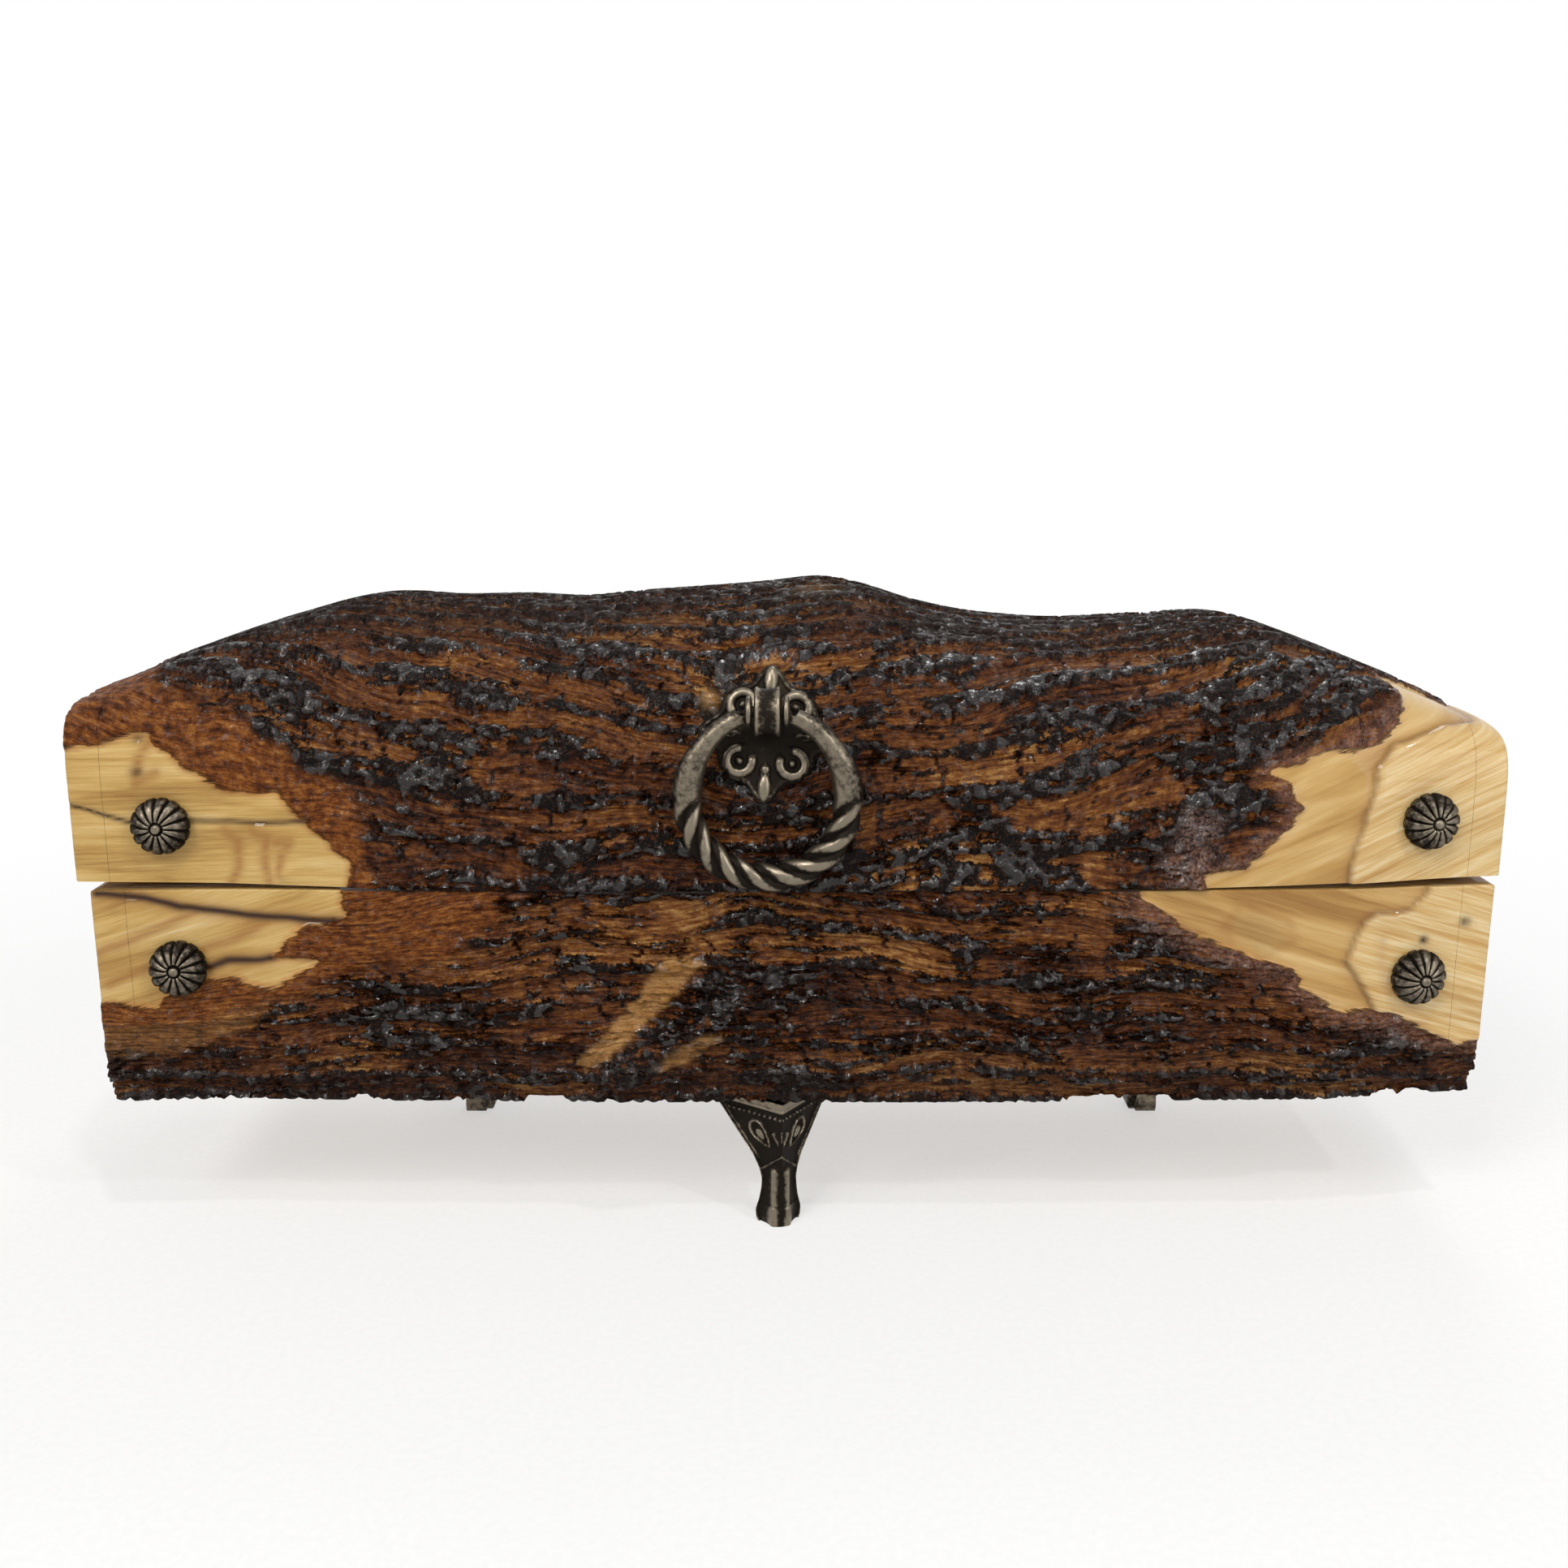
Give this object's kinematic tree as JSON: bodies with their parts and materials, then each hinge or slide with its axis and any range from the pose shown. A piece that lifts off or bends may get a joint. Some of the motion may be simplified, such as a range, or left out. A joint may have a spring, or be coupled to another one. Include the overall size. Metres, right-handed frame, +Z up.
{
  "type": "log jewelry box",
  "caption": "Jewelry box sawn from a natural log with its bark left on, with a back-hinged lid, a hollow base on cast corner feet and a twisted ring pull.",
  "frame": {"origin": "on the floor, under the middle of the whole box", "axes": "+X along the box to the right as seen from the front, -Y the front with the ring pull, +Z up"},
  "size_m": [0.27, 0.0928, 0.1247],
  "materials": {
    "varnished_bark": "natural bark under thick glossy varnish",
    "pale_log_wood": "pale sawn wood under glossy varnish",
    "brown_felt": "thin matt felt",
    "antique_bronze": "antiqued bronze plating, rubbed on the high spots",
    "dark_bronze": "dark antiqued bronze plating"
  },
  "bodies": {
    "base": {"base_end_left": "pale_log_wood", "base_end_right": "pale_log_wood", "base_lining": "brown_felt", "base_log": "varnished_bark", "base_tack_left": "dark_bronze", "base_tack_right": "dark_bronze", "front_foot": "dark_bronze", "front_foot_screw_left": "dark_bronze", "front_foot_screw_right": "dark_bronze", "hinge_left_base_leaf": "antique_bronze", "hinge_left_base_screw_left": "antique_bronze", "hinge_left_base_screw_right": "antique_bronze", "hinge_left_pin": "antique_bronze", "hinge_right_base_leaf": "antique_bronze", "hinge_right_base_screw_left": "antique_bronze", "hinge_right_base_screw_right": "antique_bronze", "hinge_right_pin": "antique_bronze", "rear_left_foot": "dark_bronze", "rear_left_foot_screw_left": "dark_bronze", "rear_left_foot_screw_right": "dark_bronze", "rear_right_foot": "dark_bronze", "rear_right_foot_screw_left": "dark_bronze", "rear_right_foot_screw_right": "dark_bronze"},
    "lid": {"hinge_left_lid_leaf": "antique_bronze", "hinge_left_lid_screw_left": "antique_bronze", "hinge_left_lid_screw_right": "antique_bronze", "hinge_right_lid_leaf": "antique_bronze", "hinge_right_lid_screw_left": "antique_bronze", "hinge_right_lid_screw_right": "antique_bronze", "lid_end_left": "pale_log_wood", "lid_end_right": "pale_log_wood", "lid_lining": "brown_felt", "lid_log": "varnished_bark", "lid_tack_left": "dark_bronze", "lid_tack_right": "dark_bronze", "pull_plate": "antique_bronze", "pull_screw": "dark_bronze"},
    "ring": {"pull_ring": "antique_bronze"}
  },
  "joints": [
    {"name": "lid_hinge", "type": "hinge", "parent": "base", "child": "lid", "pos_m": [0, 0.04472, 0.0707], "axis": [-1, 0, 0], "range_deg": [0, 95]},
    {"name": "ring_swing", "type": "hinge", "parent": "lid", "child": "ring", "pos_m": [-0.0046, -0.04351, 0.10574], "axis": [-1, 0, 0], "range_deg": [0, 90]}
  ]
}
